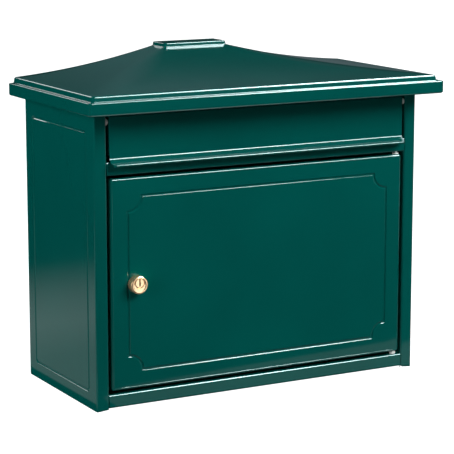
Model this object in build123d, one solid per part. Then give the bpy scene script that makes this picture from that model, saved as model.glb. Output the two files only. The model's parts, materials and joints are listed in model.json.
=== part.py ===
import os

from build123d import *

# Wall mounted mailbox in painted sheet steel: a welded case under a pressed hood roof, a lift-up
# letter flap on two pivot pins, and a collection door hinged at its right edge and closed by a
# brass cam lock.
#
# Frame, in millimetres: the wall is the plane y = 0 and the front looks along -Y. X runs to the
# right as seen from the front and Z runs up. The origin is the centre of the four wall holes.
# Heights named *_H are measured from the foot of the case; z_of() turns one into a frame z.

# ---------------------------------------------------------------- driving dimensions
ROOF_W, ROOF_D, TOTAL_H = 410.0, 200.0, 350.0
CASE_W, CASE_D = 376.0, 172.0
SHEET = 1.0            # case, door and flap sheet
HOOD_SHEET = 1.2       # pressed roof sheet
BEND_MID = 1.5         # centreline radius of every folded bend

# wall holes
HOLE_PITCH_X, HOLE_PITCH_Z, HOLE_D = 280.0, 200.0, 7.0
HOLE_CENTRE_H = 155.0

# heights above the foot
RAIL_FOOT_H = 2.0      # underside of the bottom panel
SILL_H = 15.7          # top of the front upstand
DOOR_FOOT_H, DOOR_TOP_H = 19.3, 234.7
RAIL_LOW_H, RAIL_TOP_H = 237.8, 251.7
LIP_ROOT_H, FLAP_TOP_H = 254.3, 297.0
FLAP_AXIS_H = 291.0
EAVE_H = 301.0         # lower edge of the hood skirt
LEDGE_H = 314.2
STEP_H = 320.0
SLOPE_TOP_H = 346.0

# front frame
STILE = 13.6           # face width of each front stile
JAMB_D = 15.0          # rebate depth, front face to centre of the stop lip
JAMB_FOOT_H = 16.2     # lower end of jamb and door stop, just over the sill
REAR_FLANGE = 14.0     # flange folded in along the wall
STOP_LIP = 8.5         # width of the stop lip behind door and flap
LEAF_HALF_W = 171.0    # half width of door and flap
LEAF_D = 12.0          # depth of the door's folded edge

# pressed grooves
GROOVE_R, GROOVE_OUT = 2.2, 1.2      # section circle radius, and its centre's height over the face
DOOR_GROOVE_INSET = 19.0
SCOOP_R = 15.5
SIDE_GROOVE_INSET = 18.6
SIDE_GROOVE_LOW_H, SIDE_GROOVE_TOP_H = 18.0, 280.0
SIDE_GROOVE_CORNER = 4.0

# hood: distances are measured inwards from the skirt
STEP_FOOT_IN, STEP_TOP_IN = 5.2, 7.0
CAP_HALF_W, CAP_D = 37.0, 27.3
CAP_FLARE = 1.8
SLOPE_SAG = 0.43       # share of the rise that follows a straight slope
HIP_R, SKIRT_CORNER_R = 9.0, 3.0
CAP_RIM_R, CAP_FOOT_R, STEP_RIM_R, LEDGE_R, EAVE_R = 2.2, 2.5, 2.4, 1.5, 2.2
HEM_RETURN = 4.0
BEHIND_WALL = 8.0      # how far cutting tools run on past the wall plane

# door hinge (vertical axis) and flap pivot (horizontal axis)
HINGE_X, HINGE_Y = 166.5, -CASE_D + 5.0
PIN_R, BORE_CLEARANCE = 2.0, 0.05
DOOR_BUSH_R, DOOR_COLLAR_R = 2.7, 3.2
UPPER_COLLAR_T = 1.7   # the lower collar fills its gap and carries the door
PIVOT_Y = -CASE_D + 4.5
FLAP_BUSH_R, FLAP_COLLAR_R = 2.8, 3.4
FLAP_COLLAR_T = 2.2

# letter flap: depth of the folded top edge, and the lip forward and down from its root
FOLD_DEPTH = 8.5
LIP_BEND, LIP_REACH = (3.6, 3.6), (8.1, 5.7)
LIP_BEND_R, LIP_HEM_R, LIP_CORNER_R = 5.0, 1.3, 5.0

# lock
LOCK_X, LOCK_H = -143.3, 127.0
BEZEL_R, BEZEL_L, BARREL_L = 9.2, 8.5, 15.0
LOCK_WASHER_T, LOCK_NUT_T = 1.6, 4.0
BARREL_R, BARREL_FLAT = 8.0, 6.2       # threaded radius, and half width across the flats
PLUG_R, PLUG_RISE = 4.7, 2.2
CAM_L, CAM_W, CAM_T = 29.0, 13.0, 2.0

# fasteners
SCREW_R, SCREW_HEAD_R, SCREW_HEAD_T = 2.5, 4.5, 2.6
ROOF_SCREW_X = 181.0
ROOF_SCREW_YS = (-40.0, -90.0, -140.0)
BUFFER_R, BUFFER_T = 3.6, 2.3

# ---------------------------------------------------------------- derived values
FRONT = -CASE_D                       # front plane of stiles, rails, door and flap
CASE_X = CASE_W / 2                   # outer face of each side panel
STILE_X = CASE_X - STILE              # inner edge of each stile
STOP_Y = FRONT + JAMB_D               # centre plane of the stop lip
STOP_FACE_Y = STOP_Y - SHEET / 2
BACK_PANEL_Y = -SHEET                 # inner face of the back panel
PLATE_LOW_H = EAVE_H + HOOD_SHEET     # the ceiling plate rests on the hood's hem
PLUG_H = LOCK_H + PLUG_RISE
MID = SHEET / 2
PLUG_FACE_Y = FRONT - BEZEL_L + 0.3
CAM_FRONT_Y = STOP_Y + MID + 0.5      # the cam turns just behind the stop lip


def z_of(height):
    """Frame z of a height above the foot of the case."""
    return height - HOLE_CENTRE_H


def box(x, y, h):
    """Box between pairs of limits in x, y and height above the foot."""
    size = (x[1] - x[0], y[1] - y[0], h[1] - h[0])
    centre = ((x[0] + x[1]) / 2, (y[0] + y[1]) / 2, z_of((h[0] + h[1]) / 2))
    return Pos(*centre) * Box(*size)


def rod(axis, centre, radius, low, high):
    """Cylinder along X, Y or Z between two coordinates; centre holds the other two, in order."""
    length = high - low
    if axis == "X":
        place = Pos(low, centre[0], centre[1]) * Rot(0, 90, 0)
    elif axis == "Y":
        place = Pos(centre[0], low, centre[1]) * Rot(-90, 0, 0)
    else:
        place = Pos(centre[0], centre[1], low)
    return place * Cylinder(radius, length, align=(Align.CENTER, Align.CENTER, Align.MIN))


def folded(plane, points, start, end, sheet=SHEET):
    """Folded sheet: a strip along a centreline on a plane, extruded along the plane's normal."""
    strip = plane * trace(FilletPolyline(*points, radius=BEND_MID), line_width=sheet)
    middle = plane.z_dir * ((start + end) / 2)
    return Pos(*middle) * extrude(strip, amount=(end - start) / 2, both=True)


def mirrored(part):
    return mirror(part, about=Plane.YZ)


def groove_tools(points, arcs, radius):
    """Round-section tool solids along a closed route: rods, quarter rings and ball joints.

    points are pairs of 3-D ends of the straight stretches. Each arc is a placed quarter ring.
    """
    tools = []
    for start, end in points:
        line = Edge.make_line(start, end)
        disc = Plane(origin=start, z_dir=line % 0) * Circle(radius)
        tools.append(sweep(disc, path=line))
    for place, ring_r in arcs:
        tools.append(place * Torus(ring_r, radius, major_angle=90, align=None))
    return tools


def pressed(panel, route, inner_side):
    """Press a groove into a panel: cut it from the outside and raise the ridge inside."""
    for tool in route(GROOVE_R + SHEET):
        panel += tool & inner_side
    for tool in route(GROOVE_R):
        panel -= tool
    return panel


# ---------------------------------------------------------------- case
def side_groove(radius):
    """Rectangular frame groove on the right side panel."""
    x = CASE_X + GROOVE_OUT
    y0, y1 = FRONT + SIDE_GROOVE_INSET, -SIDE_GROOVE_INSET
    z0, z1 = z_of(SIDE_GROOVE_LOW_H), z_of(SIDE_GROOVE_TOP_H)
    c = SIDE_GROOVE_CORNER
    straight = [
        ((x, y0 + c, z0), (x, y1 - c, z0)),
        ((x, y0 + c, z1), (x, y1 - c, z1)),
        ((x, y0, z0 + c), (x, y0, z1 - c)),
        ((x, y1, z0 + c), (x, y1, z1 - c)),
    ]
    corners = (
        (y1 - c, z1 - c, 0),
        (y0 + c, z1 - c, 90),
        (y0 + c, z0 + c, 180),
        (y1 - c, z0 + c, 270),
    )
    upright = Plane(origin=(0, 0, 0), x_dir=(0, 1, 0), z_dir=(1, 0, 0)).location
    rings = [(Pos(x, y, z) * upright * Rot(0, 0, turn), c) for y, z, turn in corners]
    return groove_tools(straight, rings, radius)


def right_side_panel():
    """Side wall, front stile, jamb and rear flange folded from one sheet, with a top flange."""
    centreline = [
        (CASE_X - REAR_FLANGE, BACK_PANEL_Y - MID),
        (CASE_X - MID, BACK_PANEL_Y - MID),
        (CASE_X - MID, FRONT + MID),
        (STILE_X + MID, FRONT + MID),
        (STILE_X + MID, STOP_FACE_Y - 1.0),
    ]
    panel = folded(Plane.XY, centreline, z_of(0), z_of(PLATE_LOW_H))
    top_flange = (PLATE_LOW_H - SHEET, PLATE_LOW_H)
    panel += box((CASE_X - 13, CASE_X - MID), (FRONT + 20, -12), top_flange)
    # the jamb stops above the sill, and the stile foot is cut back at its inner corner
    panel -= box((STILE_X - SHEET, STILE_X + 2 * SHEET), (FRONT + SHEET, STOP_Y), (-1, JAMB_FOOT_H))
    cut_w, cut_top_h = 3.4, RAIL_FOOT_H + 0.4
    foot_cut = Plane.XZ * make_face(
        Polyline(
            (STILE_X - 1, z_of(-1)),
            (STILE_X + cut_w, z_of(-1)),
            (STILE_X, z_of(cut_top_h)),
            (STILE_X - 1, z_of(cut_top_h)),
            close=True,
        )
    )
    front_zone = box((0, CASE_W), (FRONT - 1, FRONT + 3), (-2, 10))
    panel -= extrude(foot_cut, amount=2 * CASE_D, both=True) & front_zone
    panel -= rod("X", (PIVOT_Y, z_of(FLAP_AXIS_H)), FLAP_BUSH_R, STILE_X - 2, STILE_X + 2)
    for y in ROOF_SCREW_YS:
        panel -= rod("Z", (ROOF_SCREW_X, y), SCREW_R + 0.1, z_of(EAVE_H - 2), z_of(PLATE_LOW_H + 2))
    inside = box((0, CASE_X - MID), (FRONT, 0), (0, EAVE_H))
    return pressed(panel, side_groove, inside)


def right_door_stop():
    """Angle welded to the back of the jamb; its lip stops the door and the flap."""
    weld_x = STILE_X + SHEET + MID
    centreline = [(weld_x, STOP_Y - 5.5), (weld_x, STOP_Y), (STILE_X - STOP_LIP, STOP_Y)]
    return folded(Plane.XY, centreline, z_of(JAMB_FOOT_H), z_of(PLATE_LOW_H - SHEET))


def hood_run(place, slope_run, cap_run):
    """Edges of the hood's outline from the foot of the skirt up to the rim of the cap.

    place(run, height) gives a point; run is the distance inwards from the skirt.
    """
    rise = SLOPE_TOP_H - STEP_H
    middle = ((STEP_TOP_IN + slope_run) / 2, STEP_H + rise * (SLOPE_SAG / 2 + (1 - SLOPE_SAG) / 4))
    slope_top = place(slope_run, SLOPE_TOP_H)
    skirt = [
        place(0, EAVE_H),
        place(0, LEDGE_H),
        place(STEP_FOOT_IN, LEDGE_H),
        place(STEP_TOP_IN, STEP_H),
    ]
    slope = ThreePointArc(skirt[-1], place(*middle), slope_top)
    return [Polyline(*skirt), slope, Line(slope_top, place(cap_run, TOTAL_H))]


def hood_gable(inset):
    """The hood's outline seen from the front, drawn in by an inset all round."""
    half = ROOF_W / 2
    slope_run, cap_run = half - CAP_HALF_W - CAP_FLARE, half - CAP_HALF_W
    edges = hood_run(lambda s, h: (s - half, z_of(h)), slope_run, cap_run)
    edges += hood_run(lambda s, h: (half - s, z_of(h)), slope_run, cap_run)
    edges.append(Line((-CAP_HALF_W, z_of(TOTAL_H)), (CAP_HALF_W, z_of(TOTAL_H))))
    edges.append(Line((-half, z_of(EAVE_H)), (half, z_of(EAVE_H))))
    face = Plane.XZ * make_face(edges)
    return offset(face, amount=-inset, kind=Kind.INTERSECTION) if inset else face


def hood_flank(inset, behind_wall):
    """The hood's outline seen from the side, carried some way behind the wall plane."""
    edges = hood_run(lambda s, h: (s - ROOF_D, z_of(h)), ROOF_D - CAP_D - CAP_FLARE, ROOF_D - CAP_D)
    cap_rim = (-CAP_D, z_of(TOTAL_H))
    foot = (-ROOF_D, z_of(EAVE_H))
    edges.append(Polyline(cap_rim, (behind_wall, z_of(TOTAL_H)), (behind_wall, z_of(EAVE_H)), foot))
    face = Plane.YZ * make_face(edges)
    return offset(face, amount=-inset, kind=Kind.INTERSECTION) if inset else face


def hood_solid(inset=0.0, behind_wall=0.0):
    """Hood volume where the two outlines meet, with rounded front corners and outer hips."""
    hood = extrude(hood_gable(inset), amount=2 * ROOF_D, both=True)
    hood &= extrude(hood_flank(inset, behind_wall), amount=ROOF_W, both=True)

    def rising():
        """Edges that climb at the two front corners, lowest first."""
        climbs = hood.edges().filter_by(lambda e: e.bounding_box().size.Z > 1)
        return climbs.filter_by(lambda e: e.bounding_box().max.Y < -5).sort_by(Axis.Z)

    if not inset:
        hood = fillet(rising()[4:6], HIP_R)
    hood = fillet(rising()[2:4], SKIRT_CORNER_R - inset)
    return fillet(rising()[0:2], SKIRT_CORNER_R - inset)


def rounded_rim(hood, height, radius):
    """Round every level edge at one height, except those on the wall plane."""
    def level(edge):
        limits = edge.bounding_box()
        flat = limits.size.Z < 0.02 and abs(limits.min.Z - z_of(height)) < 0.02
        return flat and limits.min.Y < -0.02

    return fillet(hood.edges().filter_by(level), radius)


def roof_hood():
    """Pressed hood: concave slopes to a flat cap, a stepped ledge, and a skirt with a hem."""
    hood = hood_solid()
    rims = (
        (TOTAL_H, CAP_RIM_R),
        (SLOPE_TOP_H, CAP_FOOT_R),
        (STEP_H, STEP_RIM_R),
        (LEDGE_H, LEDGE_R),
        (EAVE_H, EAVE_R),
    )
    for height, radius in rims:
        hood = rounded_rim(hood, height, radius)
    hood -= hood_solid(HOOD_SHEET, BEHIND_WALL)
    mouth_x = ROOF_W / 2 - HOOD_SHEET - HEM_RETURN
    mouth_y = -ROOF_D + HOOD_SHEET + HEM_RETURN
    hood -= box((-mouth_x, mouth_x), (mouth_y, BEHIND_WALL), (EAVE_H - 2, PLATE_LOW_H + 1))
    return hood


def roof_ceiling_plate():
    """Flat plate that closes the case and is held inside the hood's hem."""
    gap = 0.2
    x = ROOF_W / 2 - HOOD_SHEET - gap
    y = (-ROOF_D + HOOD_SHEET + gap, BACK_PANEL_Y - 0.1)
    plate = box((-x, x), y, (PLATE_LOW_H, PLATE_LOW_H + SHEET))
    front_corners = plate.edges().filter_by(Axis.Z).sort_by(Axis.Y)[:2]
    plate = fillet(front_corners, SKIRT_CORNER_R - HOOD_SHEET)
    for x in (-ROOF_SCREW_X, ROOF_SCREW_X):
        for y in ROOF_SCREW_YS:
            plate -= rod("Z", (x, y), SCREW_R + 0.1, z_of(EAVE_H), z_of(LEDGE_H))
    return plate


def back_panel():
    """Flat back with the wall holes; its top follows the inside of the hood."""
    gable = extrude(hood_gable(HOOD_SHEET + 0.3), amount=SHEET, dir=(0, -1, 0))
    panel = gable + box((-CASE_X + 1, CASE_X - 1), (BACK_PANEL_Y, 0), (1.0, LEDGE_H - 3))
    for x in (-HOLE_PITCH_X / 2, HOLE_PITCH_X / 2):
        for z in (-HOLE_PITCH_Z / 2, HOLE_PITCH_Z / 2):
            panel -= rod("Y", (x, z), HOLE_D / 2, -5, 5)
    return panel


def bottom_panel():
    """Floor with upturned edges; its front is folded up and back into the door sill."""
    inner_x = CASE_X - SHEET
    upstand = 12.0
    sill = [
        (-140.0, z_of(RAIL_FOOT_H) + MID),
        (FRONT + MID, z_of(RAIL_FOOT_H) + MID),
        (FRONT + MID, z_of(SILL_H) - MID),
        (STOP_FACE_Y - 1.0, z_of(SILL_H) - MID),
    ]
    floor_h = (RAIL_FOOT_H, RAIL_FOOT_H + SHEET)
    side_back = BACK_PANEL_Y - SHEET
    weld_x = CASE_X - REAR_FLANGE - 0.5
    panel = folded(Plane.YZ, sill, -(STILE_X - 0.2), STILE_X - 0.2)
    panel += box((-inner_x, inner_x), (FRONT + 2, side_back - 1.5), floor_h)
    panel += box((-weld_x, weld_x), (side_back - 2, BACK_PANEL_Y), floor_h)
    panel += box((-weld_x, weld_x), (side_back, BACK_PANEL_Y), (RAIL_FOOT_H, RAIL_FOOT_H + upstand))
    for x in ((-inner_x, -inner_x + SHEET), (inner_x - SHEET, inner_x)):
        panel += box(x, (FRONT + 4, side_back - 2), (RAIL_FOOT_H, RAIL_FOOT_H + upstand))
    for x in (-120, 120):
        for y in (-30, -130):
            panel -= rod("Z", (x, y), 3.0, z_of(0), z_of(8))
    panel -= rod("Z", (HINGE_X, HINGE_Y), PIN_R, z_of(SILL_H - 3), z_of(SILL_H + 2))
    return panel


def slot_rail():
    """Channel across the front between letter flap and door, with a weld tab at each end."""
    centreline = [
        (STOP_FACE_Y - 3.0, z_of(RAIL_TOP_H) - MID),
        (FRONT + MID, z_of(RAIL_TOP_H) - MID),
        (FRONT + MID, z_of(RAIL_LOW_H) + MID),
        (STOP_FACE_Y - 1.0, z_of(RAIL_LOW_H) + MID),
    ]
    end_x = STILE_X - 0.1
    rail = folded(Plane.YZ, centreline, -end_x, end_x)
    tab_h = (RAIL_LOW_H + MID, RAIL_TOP_H - MID)
    for x in ((-end_x, -end_x + SHEET), (end_x - SHEET, end_x)):
        rail += box(x, (FRONT + 3, STOP_FACE_Y - 3), tab_h)
    rail -= rod("Z", (HINGE_X, HINGE_Y), PIN_R, z_of(RAIL_LOW_H - 2), z_of(RAIL_LOW_H + 3))
    return rail


def roof_screws():
    """Pan head screws that hold the roof plate down on the side panels' top flanges."""
    low = z_of(PLATE_LOW_H - SHEET)
    screws = []
    for x in (-ROOF_SCREW_X, ROOF_SCREW_X):
        for y in ROOF_SCREW_YS:
            head = rod("Z", (x, y), SCREW_HEAD_R, low - SCREW_HEAD_T, low)
            head = fillet(head.edges().group_by(Axis.Z)[0], 1.2)
            recess = Rectangle(5, 1.2) + Rectangle(1.2, 5)
            recess = extrude(Pos(x, y, low - SCREW_HEAD_T) * recess, amount=1.4)
            screws.append(head + rod("Z", (x, y), SCREW_R, low, low + 9) - recess)
    return screws


def roof_nuts():
    """Hexagon weld nuts on top of the ceiling plate."""
    low = z_of(PLATE_LOW_H + SHEET)
    nuts = []
    for x in (-ROOF_SCREW_X, ROOF_SCREW_X):
        for y in ROOF_SCREW_YS:
            nut = Pos(x, y, low) * extrude(RegularPolygon(4.6, 6), amount=4)
            nuts.append(nut - rod("Z", (x, y), SCREW_R, low - 1, low + 6))
    return nuts


# ---------------------------------------------------------------- door
def door_groove(radius):
    """Frame groove on the door, with a quarter circle scooped out of each corner."""
    y = FRONT - GROOVE_OUT
    x = LEAF_HALF_W - DOOR_GROOVE_INSET
    z0, z1 = z_of(DOOR_FOOT_H + DOOR_GROOVE_INSET), z_of(DOOR_TOP_H - DOOR_GROOVE_INSET)
    r = SCOOP_R
    straight = [
        ((-x + r, y, z1), (x - r, y, z1)),
        ((-x + r, y, z0), (x - r, y, z0)),
        ((-x, y, z0 + r), (-x, y, z1 - r)),
        ((x, y, z0 + r), (x, y, z1 - r)),
    ]
    facing = Plane.XZ.location
    corners = ((-x, z0, 0), (x, z0, 90), (x, z1, 180), (-x, z1, 270))
    rings = [(Pos(cx, y, cz) * facing * Rot(0, 0, turn), r) for cx, cz, turn in corners]
    tools = groove_tools(straight, rings, radius)
    for start, end in straight:
        tools += [Pos(*start) * Sphere(radius), Pos(*end) * Sphere(radius)]
    return tools


def lock_barrel(low, high):
    """Barrel section of the lock, round with two upright flats, between two y limits."""
    flats = (LOCK_X - BARREL_FLAT, LOCK_X + BARREL_FLAT)
    sides = box(flats, (low, high), (LOCK_H - BARREL_R, LOCK_H + BARREL_R))
    return rod("Y", (LOCK_X, z_of(LOCK_H)), BARREL_R, low, high) & sides


def door_panel():
    """Shallow pan with a rounded edge, the pressed groove, and holes for lock and hinge bushes."""
    x, h = (-LEAF_HALF_W, LEAF_HALF_W), (DOOR_FOOT_H, DOOR_TOP_H)
    outer = box(x, (FRONT, FRONT + LEAF_D), h)
    outer = fillet(outer.edges().filter_by(Axis.Y), 2.0)
    outer = fillet(outer.faces().sort_by(Axis.Y)[0].edges(), 1.9)
    t = SHEET
    inner = box((x[0] + t, x[1] - t), (FRONT + t, FRONT + 2 * LEAF_D), (h[0] + t, h[1] - t))
    inner = fillet(inner.edges().filter_by(Axis.Y), 1.0)
    inner = fillet(inner.faces().sort_by(Axis.Y)[0].edges(), 0.9)
    inside = box((-CASE_X, CASE_X), (FRONT + MID, 0), (0, EAVE_H))
    door = pressed(outer - inner, door_groove, inside)
    door -= lock_barrel(FRONT - 5, FRONT + 5)
    door -= rod("Z", (HINGE_X, HINGE_Y), DOOR_BUSH_R, z_of(DOOR_FOOT_H - 2), z_of(DOOR_FOOT_H + 4))
    door -= rod("Z", (HINGE_X, HINGE_Y), DOOR_BUSH_R, z_of(DOOR_TOP_H - 4), z_of(DOOR_TOP_H + 2))
    return door


def door_bush(top):
    """Nylon bush in the door's edge, with a collar towards the rail or the sill."""
    spigot = 2.4
    if top:
        collar = (z_of(DOOR_TOP_H), z_of(DOOR_TOP_H) + UPPER_COLLAR_T)
        body = (z_of(DOOR_TOP_H) - spigot, collar[0])
    else:
        collar = (z_of(SILL_H) + 0.1, z_of(DOOR_FOOT_H))
        body = (collar[1], collar[1] + spigot)
    centre = (HINGE_X, HINGE_Y)
    bush = rod("Z", centre, DOOR_COLLAR_R, *collar)
    bush = fillet(bush.edges().filter_by(GeomType.CIRCLE), 0.4)
    bush += rod("Z", centre, DOOR_BUSH_R, *body)
    return bush - rod("Z", centre, PIN_R + BORE_CLEARANCE, body[0] - 9, body[1] + 9)


def door_pin(top):
    """Steel hinge pin with a riveted head, fixed in the rail above or the sill below."""
    head_t, head_r, reach = 1.4, 2.9, 9.0
    centre = (HINGE_X, HINGE_Y)
    if top:
        seat = z_of(RAIL_LOW_H + SHEET)
        pin = rod("Z", centre, PIN_R, z_of(DOOR_TOP_H) - reach, seat)
        head = rod("Z", centre, head_r, seat, seat + head_t)
    else:
        seat = z_of(SILL_H - SHEET)
        pin = rod("Z", centre, PIN_R, seat, z_of(DOOR_FOOT_H) + reach)
        head = rod("Z", centre, head_r, seat - head_t, seat)
    return pin + head


# ---------------------------------------------------------------- lock
def lock_housing():
    """Brass housing: a bezel in front of the door and a threaded barrel behind, bored off centre."""
    centre = (LOCK_X, z_of(LOCK_H))
    face_y = FRONT - BEZEL_L
    bezel = rod("Y", centre, BEZEL_R, face_y, FRONT)
    bezel = fillet(bezel.edges().sort_by(Axis.Y)[0], 1.3)
    dish_r, dish_depth = BEZEL_R - 2.0, 0.45
    bezel -= rod("Y", centre, dish_r, face_y - 1, face_y + dish_depth)
    barrel = lock_barrel(FRONT, FRONT + BARREL_L)
    bore = rod("Y", (LOCK_X, z_of(PLUG_H)), PLUG_R + BORE_CLEARANCE, face_y - 2, FRONT + 20)
    return bezel + barrel - bore


def lock_nut():
    """Hexagon nut that clamps the housing from behind the door."""
    low = FRONT + SHEET + LOCK_WASHER_T
    centre = (LOCK_X, z_of(LOCK_H))
    hexagon = Plane(origin=(centre[0], low, centre[1]), x_dir=(1, 0, 0), z_dir=(0, 1, 0))
    nut = extrude(hexagon * RegularPolygon(12.2, 6), amount=LOCK_NUT_T)
    return nut - rod("Y", centre, BARREL_R, low - 1, low + LOCK_NUT_T + 1)


def lock_washer():
    """Horseshoe washer between nut and door; its open side clears the groove's ridge."""
    centre = (LOCK_X, z_of(LOCK_H))
    low, high = FRONT + SHEET, FRONT + SHEET + LOCK_WASHER_T
    washer = rod("Y", centre, 11.8, low, high) - lock_barrel(low - 1, high + 1)
    ridge_side = (LOCK_X - 20, LOCK_X - BARREL_FLAT)
    return washer - box(ridge_side, (low - 1, high + 1), (LOCK_H - 20, LOCK_H + 20))


def lock_plug():
    """Brass plug with a keyway; its square tail drives the cam."""
    centre = (LOCK_X, z_of(PLUG_H))
    tail = 5.6
    plug = rod("Y", centre, PLUG_R, PLUG_FACE_Y, CAM_FRONT_Y - 0.2)
    plug = chamfer(plug.edges().filter_by(GeomType.CIRCLE).sort_by(Axis.Y)[0], 0.3)
    plug += Pos(LOCK_X, CAM_FRONT_Y + CAM_T / 2 - 0.1, z_of(PLUG_H)) * Box(tail, CAM_T + 0.2, tail)
    key_low, key_high, key_w, key_depth = -3.4, 4.3, 1.5, 16.0
    slot_mid = PLUG_FACE_Y + key_depth / 2 - 1
    slot = Pos(LOCK_X, slot_mid, z_of(PLUG_H) + (key_low + key_high) / 2)
    plug -= slot * Box(key_w, key_depth, key_high - key_low)
    ward = Pos(LOCK_X + key_w / 2, slot_mid, z_of(PLUG_H) - 0.6)
    plug -= ward * Box(1.1, key_depth, 1.6)
    return plug - rod("Y", centre, 1.6, CAM_FRONT_Y - 5, CAM_FRONT_Y + 5)


def lock_cam():
    """Steel tongue on the plug's square tail, pointing down while the door is unlocked."""
    face = Plane(origin=(LOCK_X, CAM_FRONT_Y, z_of(PLUG_H)), x_dir=(1, 0, 0), z_dir=(0, 1, 0))
    hub_r, tip = 8.5, 3.0
    blade = Pos(0, CAM_L / 2) * Rectangle(CAM_W, CAM_L)
    blade = fillet(blade.vertices().group_by(Axis.Y)[-1], tip)
    outline = Circle(hub_r) + blade - Rectangle(5.7, 5.7)
    return extrude(face * outline, amount=CAM_T)


def cam_screw():
    """Hexagon screw that holds the cam on the plug."""
    centre = (LOCK_X, z_of(PLUG_H))
    seat = CAM_FRONT_Y + CAM_T + 0.6
    place = Plane(origin=(centre[0], seat, centre[1]), x_dir=(1, 0, 0), z_dir=(0, 1, 0))
    head = extrude(place * RegularPolygon(4.0, 6), amount=2.2)
    return head + rod("Y", centre, 1.6, seat - 7, seat)


def cam_washer():
    """Washer under the cam screw."""
    centre = (LOCK_X, z_of(PLUG_H))
    low = CAM_FRONT_Y + CAM_T
    return rod("Y", centre, 4.6, low, low + 0.6) - rod("Y", centre, 1.7, low - 1, low + 2)


# ---------------------------------------------------------------- letter flap
def flap_panel():
    """Flap with a folded top edge, an end ear at each side and a flared finger lip."""
    root = (FRONT + MID, z_of(LIP_ROOT_H))
    bend = (FRONT - LIP_BEND[0], z_of(LIP_ROOT_H) - LIP_BEND[1])
    tip = (FRONT - LIP_REACH[0], z_of(LIP_ROOT_H) - LIP_REACH[1])
    panel_line = FilletPolyline(
        (FRONT + FOLD_DEPTH, z_of(FLAP_TOP_H) - MID),
        (FRONT + MID, z_of(FLAP_TOP_H) - MID),
        root,
        bend,
        tip,
        radius=[BEND_MID, BEND_MID, LIP_BEND_R],
    )
    strip = Plane.YZ * trace(panel_line, line_width=SHEET)
    flap = extrude(strip, amount=LEAF_HALF_W, both=True)
    flap += rod("X", tip, LIP_HEM_R, -LEAF_HALF_W, LEAF_HALF_W)
    flap = rounded_lip(flap)
    # end ears: deeper at the foot, where they meet the buffers on the stop lips
    ear_back, foot_back = FRONT + 9.0, FRONT + LEAF_D
    ear_top, ear_foot = FLAP_TOP_H - SHEET, LIP_ROOT_H + 3.5
    knee_h, heel_h = LIP_ROOT_H + 17.7, LIP_ROOT_H + 13.7
    ear = Plane.YZ * make_face(
        Polyline(
            (FRONT + MID, z_of(ear_top)),
            (ear_back, z_of(ear_top)),
            (ear_back, z_of(knee_h)),
            (foot_back, z_of(heel_h)),
            (foot_back, z_of(ear_foot)),
            (FRONT + MID, z_of(ear_foot)),
            close=True,
        )
    )
    for x in (-LEAF_HALF_W + MID, LEAF_HALF_W - MID):
        flap += Pos(x, 0, 0) * extrude(ear, amount=MID, both=True)
    axis = (PIVOT_Y, z_of(FLAP_AXIS_H))
    return flap - rod("X", axis, PIN_R, -CASE_X, CASE_X)


def rounded_lip(flap):
    """Round the free corners of the finger lip, as seen from above."""
    below_lip_h = LIP_ROOT_H - 50
    lip_box = box((-CASE_X, CASE_X), (FRONT - 20, FRONT - MID), (below_lip_h, LIP_ROOT_H + 2))
    lip_front = LIP_REACH[0] + LIP_HEM_R
    plan = Pos(0, FRONT + 1) * Rectangle(2 * LEAF_HALF_W, 2 * (lip_front + 2.0))
    plan = Pos(0, 0, z_of(below_lip_h)) * fillet(plan.vertices(), LIP_CORNER_R)
    return (flap - lip_box) + (flap & lip_box & extrude(plan, amount=80))


def flap_pin(side):
    """Shoulder pin riveted into the flap's ear; side is -1 or +1."""
    axis = (PIVOT_Y, z_of(FLAP_AXIS_H))
    head = rod("X", axis, 3.2, LEAF_HALF_W - SHEET - 1.4, LEAF_HALF_W - SHEET)
    pin = head + rod("X", axis, PIN_R, LEAF_HALF_W - SHEET, STILE_X + 5.0)
    return pin if side > 0 else mirrored(pin)


def flap_bush(side):
    """Nylon bush in the jamb with a collar towards the flap; side is -1 or +1."""
    axis = (PIVOT_Y, z_of(FLAP_AXIS_H))
    collar = rod("X", axis, FLAP_COLLAR_R, STILE_X - FLAP_COLLAR_T, STILE_X)
    collar = fillet(collar.edges().sort_by(Axis.X)[0], 0.5)
    bush = collar + rod("X", axis, FLAP_BUSH_R, STILE_X, STILE_X + 2.6)
    bush -= rod("X", axis, PIN_R + BORE_CLEARANCE, STILE_X - 5, STILE_X + 9)
    return bush if side > 0 else mirrored(bush)


def buffers(heights, sides):
    """Rubber pads on the front of the stop lips."""
    x = STILE_X - 4.8
    pads = []
    for side in sides:
        for h in heights:
            pad = rod("Y", (side * x, z_of(h)), BUFFER_R, STOP_FACE_Y - BUFFER_T, STOP_FACE_Y)
            pads.append(fillet(pad.edges().filter_by(GeomType.CIRCLE).sort_by(Axis.Y)[0], 0.8))
    return pads


# ---------------------------------------------------------------- write the parts
def write(name, shape):
    solids = shape if isinstance(shape, list) else [shape]
    whole = Compound(children=[s for part in solids for s in part.solids()])
    whole.label = name
    export_step(whole, f"parts/{name}.step")
    volume = sum(s.volume for s in whole.solids())
    print(f"{name:22s} solids {len(whole.solids()):2d}  volume {volume:10.1f} mm3")


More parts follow.
